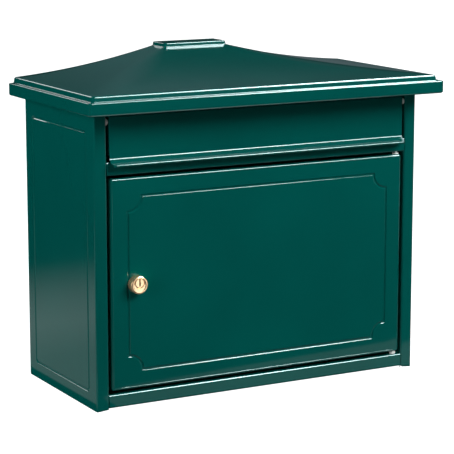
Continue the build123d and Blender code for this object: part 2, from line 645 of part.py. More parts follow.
def main():
    os.makedirs("parts", exist_ok=True)
    right = right_side_panel()
    write("right_side_panel", right)
    write("left_side_panel", mirrored(right))
    stop = right_door_stop()
    write("right_door_stop", stop)
    write("left_door_stop", mirrored(stop))
    write("back_panel", back_panel())
    write("bottom_panel", bottom_panel())
    write("slot_rail", slot_rail())
    write("roof_ceiling_plate", roof_ceiling_plate())
    write("roof_hood", roof_hood())
    write("roof_screws", roof_screws())
    write("roof_nuts", roof_nuts())
    write("door_panel", door_panel())
    write("upper_door_bush", door_bush(top=True))
    write("lower_door_bush", door_bush(top=False))
    write("upper_door_pin", door_pin(top=True))
    write("lower_door_pin", door_pin(top=False))
    write("door_buffers", buffers((62.0, 192.0), (-1,)))
    write("lock_housing", lock_housing())
    write("lock_washer", lock_washer())
    write("lock_nut", lock_nut())
    write("lock_plug", lock_plug())
    write("lock_cam", lock_cam())
    write("cam_washer", cam_washer())
    write("cam_screw", cam_screw())
    write("flap_panel", flap_panel())
    write("left_flap_pin", flap_pin(-1))
    write("right_flap_pin", flap_pin(+1))
    write("left_flap_bush", flap_bush(-1))
    write("right_flap_bush", flap_bush(+1))
    write("flap_buffers", buffers((262.5,), (-1, 1)))


main()
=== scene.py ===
import json
import math

import bmesh
import bpy
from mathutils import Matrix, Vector


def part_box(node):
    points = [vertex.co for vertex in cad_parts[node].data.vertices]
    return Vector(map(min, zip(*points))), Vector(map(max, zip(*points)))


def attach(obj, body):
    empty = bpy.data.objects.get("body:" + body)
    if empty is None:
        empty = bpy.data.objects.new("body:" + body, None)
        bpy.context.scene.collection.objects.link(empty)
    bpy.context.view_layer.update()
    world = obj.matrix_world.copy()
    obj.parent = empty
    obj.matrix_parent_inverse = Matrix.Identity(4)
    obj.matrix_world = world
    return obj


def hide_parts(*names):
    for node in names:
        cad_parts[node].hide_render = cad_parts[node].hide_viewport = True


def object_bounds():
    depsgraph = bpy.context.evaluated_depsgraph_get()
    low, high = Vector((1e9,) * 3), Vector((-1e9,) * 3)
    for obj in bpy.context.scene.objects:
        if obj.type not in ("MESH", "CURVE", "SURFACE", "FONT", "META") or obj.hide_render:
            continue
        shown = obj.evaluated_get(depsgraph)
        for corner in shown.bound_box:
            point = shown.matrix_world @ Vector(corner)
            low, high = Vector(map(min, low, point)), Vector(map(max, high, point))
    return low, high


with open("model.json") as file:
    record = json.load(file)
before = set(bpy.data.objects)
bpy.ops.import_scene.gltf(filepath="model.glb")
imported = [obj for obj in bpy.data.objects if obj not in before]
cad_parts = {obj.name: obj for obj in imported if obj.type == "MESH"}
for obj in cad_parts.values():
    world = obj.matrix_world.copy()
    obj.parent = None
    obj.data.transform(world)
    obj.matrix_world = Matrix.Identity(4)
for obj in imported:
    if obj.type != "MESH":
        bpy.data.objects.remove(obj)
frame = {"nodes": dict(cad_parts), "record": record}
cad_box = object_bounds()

MM = 0.001
NODES = frame["nodes"]

# sizes of the visible shapes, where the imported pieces' boxes do not give them
SHEET = 1.0 * MM
BEND_R = 2.0 * MM
GROOVE_R, GROOVE_OUT, GROOVE_SOFT = 1.75 * MM, 0.8 * MM, 0.06 * MM
GROOVE_GRID, GROOVE_PAD = 0.2 * MM, 1.8 * MM
HOOD = {
    "sheet": 1.2 * MM, "hem_in": 5.2 * MM, "ledge_h": 13.2 * MM, "step_foot_in": 5.2 * MM,
    "step_top_in": 6.4 * MM, "step_h": 19.0 * MM, "slope_top_h": 45.0 * MM, "cap_h": 49.0 * MM,
    "cap_half_w": 37.0 * MM, "cap_d": 27.3 * MM, "cap_flare": 0.8 * MM, "sag": 0.43,
    "corner_r": 3.0 * MM, "hip_swell": 22.0 * MM, "slope_rows": 22,
    "eave_r": 2.2 * MM, "ledge_r": 1.2 * MM, "foot_r": 0.7 * MM, "step_r": 2.2 * MM,
    "cap_foot_r": 0.7 * MM, "cap_r": 1.1 * MM, "cap_inset": 6 * MM,
    "side_steps": 12, "hip_steps": 12, "front_steps": 14,
}
DOOR_RIM_R, DOOR_GROOVE_IN, SCOOP_R = 2.4 * MM, 19.0 * MM, 15.5 * MM
STILE_W, JAMB_DEPTH, JAMB_FOOT, REAR_FLANGE = 13.6 * MM, 13.5 * MM, 16.2 * MM, 14.0 * MM
SIDE_GROOVE_IN, SIDE_GROOVE_CORNER = 18.6 * MM, 4.0 * MM
SIDE_GROOVE_LOW, SIDE_GROOVE_TOP = 18.0 * MM, 280.0 * MM
FOOT_NOTCH_H, FOOT_NOTCH_W = 2.4 * MM, 3.4 * MM
TOP_FLANGE_W, TOP_FLANGE_FRONT, TOP_FLANGE_BACK = 13 * MM, 20 * MM, 12 * MM
FLAP = {
    "lip_root_over_foot": 7.0 * MM, "hem_r": 1.3 * MM, "corner_r": 5.0 * MM, "fold_depth": 8.5 * MM,
    "fold_r": 1.5 * MM, "lip_root_r": 3.2 * MM, "lip_bend": 3.6 * MM, "lip_bend_r": 5 * MM,
    "lip_reach": 8.1 * MM, "lip_drop": 5.7 * MM, "lip_start": 0.8 * MM, "columns": 24,
    "hem_wrap": 0.86,
}
EAR_DEPTH, EAR_STEP, EAR_TOP, EAR_FOOT = 9 * MM, 17.7 * MM, 13.7 * MM, 3.5 * MM
LOCK = {
    "tip_r": 7.2 * MM, "tip_h": 0.8 * MM, "thread_r": 8 * MM, "root_r": 7.6 * MM, "pitch": 1.2 * MM,
    "threads": 9, "shank_r": 7.9 * MM, "rim_foot": 0.4 * MM, "rim_bend": 1.7 * MM,
    # millimetres behind the face, millimetres in from the rim, share of the way to the bore's middle
    "dish": ((0.02, 2.0, 0.0), (0.22, 2.4, 0.05), (0.5, 2.9, 0.25)),
    # millimetres behind the face, millimetres outside the bore
    "lip": ((0.55, 0.75), (0.75, 0.6), (1.6, 0.0)),
}
MERGE = 0.004 * MM   # points closer than this are one point


# ---------------------------------------------------------------- materials
def new_material(name):
    """A material with its node tree and its Principled shader."""
    material = bpy.data.materials.new(name)
    material.use_nodes = True
    tree = material.node_tree
    return material, tree, tree.nodes["Principled BSDF"]


def object_noise(tree, scale, detail=2.0, stretch=(1, 1, 1)):
    """Noise in metres of the object, so that its grain has a real size."""
    coordinates = tree.nodes.new("ShaderNodeTexCoord")
    mapping = tree.nodes.new("ShaderNodeMapping")
    mapping.inputs["Scale"].default_value = stretch
    noise = tree.nodes.new("ShaderNodeTexNoise")
    noise.inputs["Scale"].default_value = scale
    noise.inputs["Detail"].default_value = detail
    tree.links.new(coordinates.outputs["Object"], mapping.inputs["Vector"])
    tree.links.new(mapping.outputs["Vector"], noise.inputs["Vector"])
    return noise.outputs["Fac"]


def ramp(tree, value, stops):
    """Colour ramp through (position, colour) stops; a grey may be given as one number."""
    node = tree.nodes.new("ShaderNodeValToRGB")
    elements = node.color_ramp.elements
    while len(elements) < len(stops):
        elements.new(0.5)
    for element, (position, colour) in zip(elements, stops):
        rgb = colour if isinstance(colour, tuple) else (colour,) * 3
        element.position = position
        element.color = (*rgb, 1)
    tree.links.new(value, node.inputs["Fac"])
    return node.outputs["Color"]


def add_bump(tree, shader, layers):
    """Bump from (height, strength, depth in metres) layers, one on top of the next."""
    normal = None
    for height, strength, depth in layers:
        bump = tree.nodes.new("ShaderNodeBump")
        bump.inputs["Strength"].default_value = strength
        bump.inputs["Distance"].default_value = depth
        tree.links.new(height, bump.inputs["Height"])
        if normal:
            tree.links.new(normal, bump.inputs["Normal"])
        normal = bump.outputs["Normal"]
    tree.links.new(normal, shader.inputs["Normal"])


def powder_coat():
    """Glossy dark green powder coat: faint orange peel, small shifts of tone and gloss."""
    material, tree, shader = new_material("green_powder_coat")
    cloud = object_noise(tree, 9.0)
    speck = object_noise(tree, 900.0, 1.0)
    colour = ramp(tree, cloud, [(0.3, (0.0, 0.075, 0.064)), (0.7, (0.0, 0.086, 0.073))])
    tree.links.new(colour, shader.inputs["Base Color"])
    rough = ramp(tree, speck, [(0.35, 0.1), (0.7, 0.14)])
    tree.links.new(rough, shader.inputs["Roughness"])
    shader.inputs["IOR"].default_value = 1.5
    peel = object_noise(tree, 520.0, 2.0)
    add_bump(tree, shader, [(peel, 0.12, 0.00005)])
    return material


def metal(name, light, dark, roughness, grain, metallic=1.0):
    """Metal with fine grain in one direction and patches that are a little duller."""
    material, tree, shader = new_material(name)
    patch = object_noise(tree, 160.0)
    lines = object_noise(tree, 700.0, 3.0, grain)
    tree.links.new(ramp(tree, patch, [(0.3, dark), (0.7, light)]), shader.inputs["Base Color"])
    low, high = roughness
    tree.links.new(ramp(tree, lines, [(0.3, low), (0.7, high)]), shader.inputs["Roughness"])
    shader.inputs["Metallic"].default_value = metallic
    add_bump(tree, shader, [(lines, 0.1, 0.00005)])
    return material


def moulded(name, light, dark, roughness, peel):
    """Moulded plastic or rubber with a fine surface texture."""
    material, tree, shader = new_material(name)
    patch = object_noise(tree, 220.0)
    fine = object_noise(tree, 2600.0)
    tree.links.new(ramp(tree, patch, [(0.3, dark), (0.7, light)]), shader.inputs["Base Color"])
    rough = ramp(tree, fine, [(0.3, roughness), (0.7, roughness + 0.12)])
    tree.links.new(rough, shader.inputs["Roughness"])
    add_bump(tree, shader, [(fine, peel, 0.00005)])
    return material


MATERIALS = {
    "green_powder_coat": powder_coat(),
    "zinc_plated_steel": metal("zinc_plated_steel", (0.62, 0.62, 0.6), (0.5, 0.5, 0.5),
                               (0.28, 0.42), (1, 1, 8)),
    "lock_brass": metal("lock_brass", (0.95, 0.66, 0.4), (0.88, 0.58, 0.33),
                        (0.17, 0.27), (1, 1, 1), 0.84),
    "white_nylon": moulded("white_nylon", (0.86, 0.86, 0.83), (0.8, 0.8, 0.76), 0.35, 0.15),
    "black_rubber": moulded("black_rubber", (0.022, 0.022, 0.022), (0.014, 0.014, 0.014), 0.55, 0.3),
}
SLOT_OF = {part["node"]: part["material_slot"] for part in frame["record"]["subparts"]}


def dress(obj, slot_name):
    """Give an object the material of a slot as its only one."""
    obj.data.materials.clear()
    obj.data.materials.append(MATERIALS[slot_name])


for node_name, node in NODES.items():
    dress(node, SLOT_OF[node_name])


# ---------------------------------------------------------------- mesh helpers
def grid_object(name, rows, closed=False, sharp_angle=40):
    """Smooth-shaded mesh through rows of points, all of one length; closed joins each row's ends."""
    width = len(rows[0])
    faces = []
    for r in range(len(rows) - 1):
        for c in range(width if closed else width - 1):
            d = (c + 1) % width
            faces.append((r * width + c, r * width + d, (r + 1) * width + d, (r + 1) * width + c))
    mesh = bpy.data.meshes.new(name)
    mesh.from_pydata([p for row in rows for p in row], [], faces)
    obj = bpy.data.objects.new(name, mesh)
    bpy.context.scene.collection.objects.link(obj)
    tidy_mesh(obj, sharp_angle)
    return obj


def tidy_mesh(obj, sharp_angle=40):
    """Merge doubled points, face every normal outwards, and shade smooth up to an angle."""
    shape = bmesh.new()
    shape.from_mesh(obj.data)
    bmesh.ops.remove_doubles(shape, verts=shape.verts, dist=MERGE)
    bmesh.ops.recalc_face_normals(shape, faces=shape.faces)
    shape.to_mesh(obj.data)
    shape.free()
    obj.data.shade_smooth()
    obj.data.set_sharp_from_angle(angle=math.radians(sharp_angle))


def cap_row(obj, row_points):
    """Close an open rim of an object with one face through given points."""
    shape = bmesh.new()
    shape.from_mesh(obj.data)
    shape.verts.ensure_lookup_table()
    corners = [min(shape.verts, key=lambda v: (v.co - Vector(p)).length) for p in row_points]
    shape.faces.new(list(dict.fromkeys(corners)))
    bmesh.ops.recalc_face_normals(shape, faces=shape.faces)
    shape.to_mesh(obj.data)
    shape.free()


def sheet_metal(obj, thickness):
    """Give a surface the sheet's thickness on its inner side."""
    solid = obj.modifiers.new("sheet", "SOLIDIFY")
    solid.thickness = thickness
    solid.offset = -1
    solid.use_even_offset = True


def rounded_path(points, steps=5):
    """Path through (a, b, radius) corners, each rounded by an arc of its radius."""
    path = [Vector(points[0][:2])]
    for before, corner, after in zip(points, points[1:], points[2:]):
        here, radius = Vector(corner[:2]), corner[2]
        if not radius:
            path.append(here)
            continue
        into = (here - Vector(before[:2])).normalized()
        out = (Vector(after[:2]) - here).normalized()
        turn = into.angle(out)
        reach = radius * math.tan(turn / 2)
        side = into.orthogonal()
        if side.dot(out) < 0:
            side = -side
        centre = here - into * reach + side * radius
        start = here - into * reach - centre
        for i in range(steps + 1):
            t = turn * i / steps
            path.append(centre + start * math.cos(t) + into * radius * math.sin(t))
    path.append(Vector(points[-1][:2]))
    return path


def arc_through(a, b, c, count):
    """Evenly spaced points strictly between a and c on the circle through a, b and c."""
    a, b, c = Vector(a), Vector(b), Vector(c)
    d = 2 * (a.x * (b.y - c.y) + b.x * (c.y - a.y) + c.x * (a.y - b.y))
    ux = (a.dot(a) * (b.y - c.y) + b.dot(b) * (c.y - a.y) + c.dot(c) * (a.y - b.y)) / d
    uy = (a.dot(a) * (c.x - b.x) + b.dot(b) * (a.x - c.x) + c.dot(c) * (b.x - a.x)) / d
    centre = Vector((ux, uy))
    first, last = a - centre, c - centre
    sweep = first.angle(last)
    normal = (last - first * math.cos(sweep)) / math.sin(sweep)
    steps = [sweep * i / (count + 1) for i in range(1, count + 1)]
    return [centre + first * math.cos(t) + normal * math.sin(t) for t in steps]


def graded(low, high, bands, fine, coarse):
    """Coordinates from low to high, closely spaced inside the bands and wide apart elsewhere."""
    marks = sorted({low, high, *[limit for band in bands for limit in band]})
    marks = [m for m in marks if low <= m <= high]
    values = [low]
    for start, end in zip(marks, marks[1:]):
        middle = (start + end) / 2
        step = fine if any(b[0] <= middle <= b[1] for b in bands) else coarse
        count = max(1, round((end - start) / step))
        values += [start + (end - start) * i / count for i in range(1, count + 1)]
    return values


def groove_depth(distance):
    """Depth of the pressed groove at a distance from its middle line: round bottom, soft lips."""
    section = math.sqrt(max(GROOVE_R ** 2 - distance ** 2, 0)) - GROOVE_OUT
    if distance >= GROOVE_R:
        return 0.0
    return (section + math.sqrt(section ** 2 + GROOVE_SOFT ** 2)) / 2


# ---------------------------------------------------------------- roof hood
def hood_run(slope_run, cap_run):
    """Hood outline as (distance in from the skirt, height over the eave) from hem to cap."""
    slope = (HOOD["step_top_in"], HOOD["step_h"])
    top = (slope_run, HOOD["slope_top_h"])
    rise = top[1] - slope[1]
    middle = ((slope[0] + top[0]) / 2, slope[1] + rise * (HOOD["sag"] / 2 + (1 - HOOD["sag"]) / 4))
    corners = [
        (HOOD["hem_in"], 0, 0),
        (0, 0, HOOD["eave_r"]),
        (0, HOOD["ledge_h"], HOOD["ledge_r"]),
        (HOOD["step_foot_in"], HOOD["ledge_h"], HOOD["foot_r"]),
        (*slope, HOOD["step_r"]),
        *[(p.x, p.y, 0) for p in arc_through(slope, middle, top, HOOD["slope_rows"])],
        (*top, HOOD["cap_foot_r"]),
        (cap_run, HOOD["cap_h"], HOOD["cap_r"]),
        (cap_run + HOOD["cap_inset"], HOOD["cap_h"], 0),
    ]
    return rounded_path(corners)


def hip_radius(height):
    """Plan radius of the hood's front corners: tight at skirt and cap, soft on the slopes."""
    t = (height - HOOD["step_h"]) / (HOOD["slope_top_h"] - HOOD["step_h"])
    if not 0 < t < 1:
        return HOOD["corner_r"]
    return HOOD["corner_r"] + HOOD["hip_swell"] * math.sin(math.pi * t ** 0.6)


def roof_hood():
    """Pressed hood: rings from the hem up to the cap, each a U in plan that is open at the wall."""
    low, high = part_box("roof_hood")
    half_w, depth, eave = high.x, high.y - low.y, low.z
    side = hood_run(half_w - HOOD["cap_half_w"] - HOOD["cap_flare"], half_w - HOOD["cap_half_w"])
    front = hood_run(depth - HOOD["cap_d"] - HOOD["cap_flare"], depth - HOOD["cap_d"])
    rows = []
    for s, f in zip(side, front):
        x, y = half_w - s.x, low.y + f.x
        z = eave + (s.y + f.y) / 2
        radius = min(hip_radius((s.y + f.y) / 2), x * 0.9, -y * 0.9)   # leaves each side some straight
        right = [Vector((x, (y + radius) * i / HOOD["side_steps"], z)) for i in range(HOOD["side_steps"] + 1)]
        centre = Vector((x - radius, y + radius, z))
        for i in range(1, HOOD["hip_steps"]):
            t = math.pi / 2 * i / HOOD["hip_steps"]
            right.append(centre + Vector((math.cos(t), -math.sin(t), 0)) * radius)
        right += [Vector(((x - radius) * (1 - i / HOOD["front_steps"]), y, z))
                  for i in range(HOOD["front_steps"] + 1)]
        left = [Vector((-p.x, p.y, p.z)) for p in reversed(right[:-1])]
        rows.append(right + left)
    hood = grid_object("roof_hood_pressing", rows, sharp_angle=60)
    cap_row(hood, rows[-1])
    sheet_metal(hood, HOOD["sheet"])
    finish_piece(hood, "casing", "green_powder_coat", "roof_hood")


# ---------------------------------------------------------------- door
def door_groove_distance(x, z, half_w, low, high):
    """Distance from the middle line of the door's groove, a frame with scooped corners."""
    px, pz = abs(x), min(z - low, high - z)
    r = SCOOP_R
    to_upright = abs(px - half_w) if pz >= r else math.hypot(px - half_w, pz - r)
    to_level = abs(pz) if px <= half_w - r else math.hypot(px - (half_w - r), pz)
    from_corner = math.hypot(px - half_w, pz)
    distance = min(to_upright, to_level)
    on_scoop = px <= half_w and pz >= 0
    return min(distance, abs(from_corner - r)) if on_scoop else distance


def door_panel():
    """Door pan: grooved face, rounded rim and folded edges."""
    low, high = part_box("door_panel")
    rim = DOOR_RIM_R
    x0, x1, z0, z1 = low.x + rim, high.x - rim, low.z + rim, high.z - rim
    groove_x = high.x - DOOR_GROOVE_IN
    groove_z = (low.z + DOOR_GROOVE_IN, high.z - DOOR_GROOVE_IN)
    pad = GROOVE_PAD
    reach = SCOOP_R + pad + GROOVE_GRID / 2
    fine_x = [(-groove_x - pad, -groove_x + reach), (groove_x - reach, groove_x + pad)]
    fine_z = [(groove_z[0] - pad, groove_z[0] + reach), (groove_z[1] - reach, groove_z[1] + pad)]
    columns = graded(x0, x1, fine_x, GROOVE_GRID, 12 * MM)
    levels = graded(z0, z1, fine_z, GROOVE_GRID, 12 * MM)
    rows = []
    for z in levels:
        depths = [groove_depth(door_groove_distance(x, z, groove_x, *groove_z)) for x in columns]
        rows.append([Vector((x, low.y + d, z)) for x, d in zip(columns, depths)])
    door = grid_object("door_pan", rows)

    border = [((x, z0), 270) for x in columns] + [((x1, z), 0) for z in levels]
    border += [((x, z1), 90) for x in reversed(columns)] + [((x0, z), 180) for z in reversed(levels)]
    loop = []
    for i, (place, bearing) in enumerate(border):
        loop.append((place, bearing))
        following = border[(i + 1) % len(border)]
        if following[0] == place:
            loop += [(place, bearing + 90 * k / 6) for k in range(1, 6)]
    rings = []
    turns = [math.pi / 2 * k / 6 for k in range(7)]
    bends = [(rim * math.sin(t), rim * (1 - math.cos(t))) for t in turns]
    for outward, back in [*bends, (rim, high.y - low.y)]:
        ring = []
        for (x, z), bearing in loop:
            a = math.radians(bearing)
            ring.append(Vector((x + outward * math.cos(a), low.y + back, z + outward * math.sin(a))))
        rings.append(ring)
    edge = grid_object("door_edge", rings, closed=True)
    for piece in (door, edge):
        sheet_metal(piece, SHEET)
    finish_piece(edge, "door", "green_powder_coat")
    finish_piece(door, "door", "green_powder_coat", "door_panel")


# ---------------------------------------------------------------- side panels
def side_panel(side):
    """Side wall with its pressed frame, front stile, jamb and rear flange; side is -1 or +1."""
    node = "right_side_panel" if side > 0 else "left_side_panel"
    low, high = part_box(node)
    outer = max(abs(low.x), abs(high.x))
    front, back = low.y, high.y
    stile_x = outer - STILE_W
    plan = rounded_path([
        (outer - REAR_FLANGE, back, 0),
        (outer, back, BEND_R),
        (outer, front, BEND_R),
        (stile_x, front, BEND_R),
        (stile_x, front + JAMB_DEPTH, 0),
    ], steps=6)
    groove_y = (front + SIDE_GROOVE_IN, back - SIDE_GROOVE_IN)
    groove_z = (low.z + SIDE_GROOVE_LOW, low.z + SIDE_GROOVE_TOP)
    pad = GROOVE_PAD
    inner = SIDE_GROOVE_CORNER + pad
    wall = [i for i, p in enumerate(plan) if abs(p.x - outer) < 1e-7]
    first, last = plan[wall[0]], plan[wall[-1]]
    across = graded(last.y, first.y, [(groove_y[0] - pad, groove_y[0] + inner),
                                      (groove_y[1] - inner, groove_y[1] + pad)], GROOVE_GRID, 12 * MM)
    plan = plan[:wall[0]] + [Vector((outer, y)) for y in reversed(across)] + plan[wall[-1] + 1:]
    levels = graded(low.z, high.z, [(groove_z[0] - pad, groove_z[0] + inner),
                                    (groove_z[1] - inner, groove_z[1] + pad)], GROOVE_GRID, 15 * MM)
    levels = sorted({*levels, low.z + FOOT_NOTCH_H, low.z + JAMB_FOOT})
    middle_y, middle_z = sum(groove_y) / 2, sum(groove_z) / 2
    size_y, size_z = (groove_y[1] - groove_y[0]) / 2, (groove_z[1] - groove_z[0]) / 2

    def groove_distance(y, z):
        """Distance from the frame groove's middle line, a rectangle with small round corners."""
        qy = abs(y - middle_y) - size_y + SIDE_GROOVE_CORNER
        qz = abs(z - middle_z) - size_z + SIDE_GROOVE_CORNER
        outside = math.hypot(max(qy, 0), max(qz, 0)) + min(max(qy, qz), 0)
        return abs(outside - SIDE_GROOVE_CORNER)

    rows = []
    for z in levels:
        row = []
        for p in plan:
            x, height = p.x, z
            if abs(p.x - outer) < 1e-7:
                x -= groove_depth(groove_distance(p.y, z))
            near_jamb = FOOT_NOTCH_W - (p.x - stile_x)
            if z == low.z and near_jamb > 0 and p.y < front + BEND_R:
                height += FOOT_NOTCH_H * min(1, near_jamb / FOOT_NOTCH_W)
            row.append(Vector((side * x, p.y, height)))
        rows.append(row)
    panel = grid_object(node + "_folded", rows)
    foot = low.z + JAMB_FOOT - 0.1 * MM
    shape = bmesh.new()
    shape.from_mesh(panel.data)
    below = []
    for face in shape.faces:
        middle = face.calc_center_median()
        if middle.z < foot and middle.y > front + BEND_R and abs(middle.x) < stile_x + SHEET / 2:
            below.append(face)
    bmesh.ops.delete(shape, geom=below, context="FACES")
    shape.to_mesh(panel.data)
    shape.free()
    tidy_mesh(panel)
    flange = folded_strip(node + "_top_flange", outer - TOP_FLANGE_W, outer - SHEET,
                          front + TOP_FLANGE_FRONT, back - TOP_FLANGE_BACK, high.z, side)
    join(panel, flange)
    sheet_metal(panel, SHEET)
    finish_piece(panel, "casing", "green_powder_coat", node)


def folded_strip(name, x0, x1, y0, y1, top, side):
    """Level strip whose upper face is at a height, with many short stretches along its length."""
    rows = []
    for i in range(9):
        y = y0 + (y1 - y0) * i / 8
        rows.append([Vector((side * x, y, top)) for x in (x0, (x0 + x1) / 2, x1)])
    strip = grid_object(name, rows)
    if strip.data.polygons[0].normal.z < 0:
        strip.data.flip_normals()
    return strip


# ---------------------------------------------------------------- letter flap
def flap_panel():
    """Flap, folded at the top, with a flared finger lip whose edge is hemmed round."""
    low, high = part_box("flap_panel")
    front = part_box("door_panel")[0].y
    half_t = SHEET / 2
    root_z = low.z + FLAP["lip_root_over_foot"]
    line = rounded_path([
        (front + FLAP["fold_depth"], high.z - half_t, 0),
        (front + half_t, high.z - half_t, FLAP["fold_r"]),
        (front + half_t, root_z, FLAP["lip_root_r"]),
        (front - FLAP["lip_bend"], root_z - FLAP["lip_bend"], FLAP["lip_bend_r"]),
        (front - FLAP["lip_reach"], root_z - FLAP["lip_drop"], 0),
    ], steps=6)
    tip = line[-1]
    outside, inside = [], []
    for i, p in enumerate(line):
        ahead = (line[min(i + 1, len(line) - 1)] - line[max(i - 1, 0)]).normalized()
        normal = Vector((ahead.y, -ahead.x))
        outside.append(p + normal * half_t)
        inside.append(p - normal * half_t)
    end = (line[-1] - line[-2]).normalized()
    start_turn = math.atan2(end.y, end.x)
    bead = []
    wrap = math.pi * FLAP["hem_wrap"]
    for i in range(1, 16):
        t = start_turn + wrap - 2 * wrap * i / 16
        bead.append(tip + Vector((math.cos(t), math.sin(t))) * FLAP["hem_r"])
    if (outside[-1] - bead[0]).length > (inside[-1] - bead[0]).length:
        bead.reverse()
    loop = outside + bead + inside[::-1]

    def half_width(y):
        """Half width of the flap at a depth; the lip's free corners are rounded."""
        past = front - FLAP["lip_start"] - y
        reach = front - FLAP["lip_start"] - low.y
        if past <= reach - FLAP["corner_r"]:
            return high.x
        into = min(past - (reach - FLAP["corner_r"]), FLAP["corner_r"])
        return high.x - FLAP["corner_r"] + math.sqrt(max(FLAP["corner_r"] ** 2 - into ** 2, 0))

    rows = []
    for i in range(FLAP["columns"] + 1):
        share = -1 + 2 * i / FLAP["columns"]
        rows.append([Vector((share * half_width(p.x), p.x, p.y)) for p in loop])
    flap = grid_object("letter_flap", rows, closed=True, sharp_angle=50)
    last = len(line) - 1
    for row in (rows[0], rows[-1]):
        for i in range(last):
            cap_row(flap, [row[i], row[i + 1], row[-2 - i], row[-1 - i]])
        cap_row(flap, row[last:len(row) - last])
    for side in (-1, 1):
        join(flap, flap_ear(side, front, high, root_z))
    soften(flap, 0.25 * MM)
    finish_piece(flap, "flap", "green_powder_coat", "flap_panel")


def flap_ear(side, front, high, root_z):
    """End plate of the flap, deeper at its foot where it meets the buffer."""
    outline = [
        (front + SHEET / 2, high.z - SHEET),
        (front + EAR_DEPTH, high.z - SHEET),
        (front + EAR_DEPTH, root_z + EAR_STEP),
        (high.y, root_z + EAR_TOP),
        (high.y, root_z + EAR_FOOT),
        (front + SHEET / 2, root_z + EAR_FOOT),
    ]
    rows = [[Vector((side * x, y, z)) for y, z in outline] for x in (high.x, high.x - SHEET)]
    ear = grid_object(f"flap_ear_{side}", rows, closed=True, sharp_angle=20)
    for row in rows:
        cap_row(ear, row)
    return ear


# ---------------------------------------------------------------- lock
def lock_housing():
    """Turned brass head with a bright rolled rim and a shallow dish, on its threaded barrel."""
    low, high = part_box("lock_housing")
    plug_low, plug_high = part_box("lock_plug")
    centre = Vector(((low.x + high.x) / 2, (low.z + high.z) / 2))
    bore_centre = Vector(((plug_low.x + plug_high.x) / 2, (plug_low.z + plug_high.z) / 2))
    bore_r = (plug_high.x - plug_low.x) / 2 + 0.05 * MM
    face, rim_r = low.y, (high.x - low.x) / 2
    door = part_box("door_panel")[0].y
    profile = [(high.y, LOCK["tip_r"], 0), (high.y - LOCK["tip_h"], LOCK["thread_r"], 0)]
    for i in range(LOCK["threads"]):
        y = high.y - LOCK["tip_h"] - i * LOCK["pitch"]
        flank = LOCK["pitch"] / 4
        profile += [(y - flank, LOCK["thread_r"], 0), (y - 2 * flank, LOCK["root_r"], 0),
                    (y - 3 * flank, LOCK["root_r"], 0)]
    profile += [(door, LOCK["shank_r"], 0), (door, rim_r, 0), (door - LOCK["rim_foot"], rim_r, 0)]
    bend = LOCK["rim_bend"]
    for i in range(9):
        t = math.pi / 2 * i / 8
        profile.append((face + bend * (1 - math.sin(t)), rim_r - bend * (1 - math.cos(t)), 0))
    profile += [(face + sunk * MM, rim_r - inset * MM, share) for sunk, inset, share in LOCK["dish"]]
    profile += [(face + sunk * MM, bore_r + past * MM, 1.0) for sunk, past in LOCK["lip"]]
    profile.append((high.y, bore_r, 1.0))
    count = 72
    rows = []
    for y, radius, share in profile:
        middle = centre.lerp(bore_centre, share)
        turn = [2 * math.pi * i / count for i in range(count)]
        circle = [Vector((math.cos(t), math.sin(t))) * radius + middle for t in turn]
        rows.append([Vector((point.x, y, point.y)) for point in circle])
    housing = grid_object("lock_head", rows, closed=True, sharp_angle=50)
    finish_piece(housing, "door", "lock_brass", "lock_housing")


# ---------------------------------------------------------------- shared finishing
def join(obj, other):
    """Merge another object into the first."""
    shape = bmesh.new()
    shape.from_mesh(obj.data)
    shape.from_mesh(other.data)
    bmesh.ops.remove_doubles(shape, verts=shape.verts, dist=MERGE)
    shape.to_mesh(obj.data)
    shape.free()
    obj.data.shade_smooth()
    obj.data.set_sharp_from_angle(angle=math.radians(40))
    bpy.data.objects.remove(other)


def soften(obj, width):
    """Small bevel on an object's sharp edges."""
    bevel = obj.modifiers.new("edges", "BEVEL")
    bevel.width = width
    bevel.segments = 2
    bevel.limit_method = "ANGLE"
    bevel.angle_limit = math.radians(50)


def finish_piece(obj, body, slot_name, *nodes):
    """Give a piece its material and its body, and hide the CAD nodes that it stands for."""
    even = obj.modifiers.new("flat_faces", "WEIGHTED_NORMAL")
    even.keep_sharp = True
    even.weight = 80
    dress(obj, slot_name)
    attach(obj, body)
    if nodes:
        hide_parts(*nodes)


# ---------------------------------------------------------------- studio
DAYLIGHT = (0.95, 0.99, 1.0)
SKYLIGHT = (0.8, 0.98, 1.0)


def area_light(name, place, target, size, radiance, glossy=True, diffuse=True, colour=DAYLIGHT):
    """Rectangular soft light that looks at a point; radiance is its own brightness."""
    data = bpy.data.lights.new(name, "AREA")
    data.color = colour
    data.shape = "RECTANGLE"
    data.size, data.size_y = size
    data.energy = radiance * math.pi * size[0] * size[1]
    light = bpy.data.objects.new(name, data)
    light.location = place
    light.rotation_euler = (Vector(target) - Vector(place)).to_track_quat("-Z", "Y").to_euler()
    light.visible_glossy = glossy
    light.visible_diffuse = diffuse
    light.visible_camera = False
    bpy.context.scene.collection.objects.link(light)
    return light


def stage_card(name, corners, colour, glow, seen_by):
    """Flat stage card through (x, y) corners at foot height, seen only by some kinds of ray."""
    mesh = bpy.data.meshes.new(name)
    foot = cad_box[0].z
    mesh.from_pydata([(x, y, foot) for x, y in corners], [], [tuple(range(len(corners)))])
    card = bpy.data.objects.new(name, mesh)
    bpy.context.scene.collection.objects.link(card)
    card.visible_camera = "camera" in seen_by
    card.visible_diffuse = "diffuse" in seen_by
    card.visible_glossy = "glossy" in seen_by
    card.visible_shadow = False
    material, _, shader = new_material(name + "_paint")
    shader.inputs["Base Color"].default_value = (colour, colour, colour, 1)
    shader.inputs["Roughness"].default_value = 0.9
    shader.inputs["Specular IOR Level"].default_value = 0.0
    shader.inputs["Emission Color"].default_value = (1, 1, 1, 1)
    shader.inputs["Emission Strength"].default_value = glow
    mesh.materials.append(material)
    return card


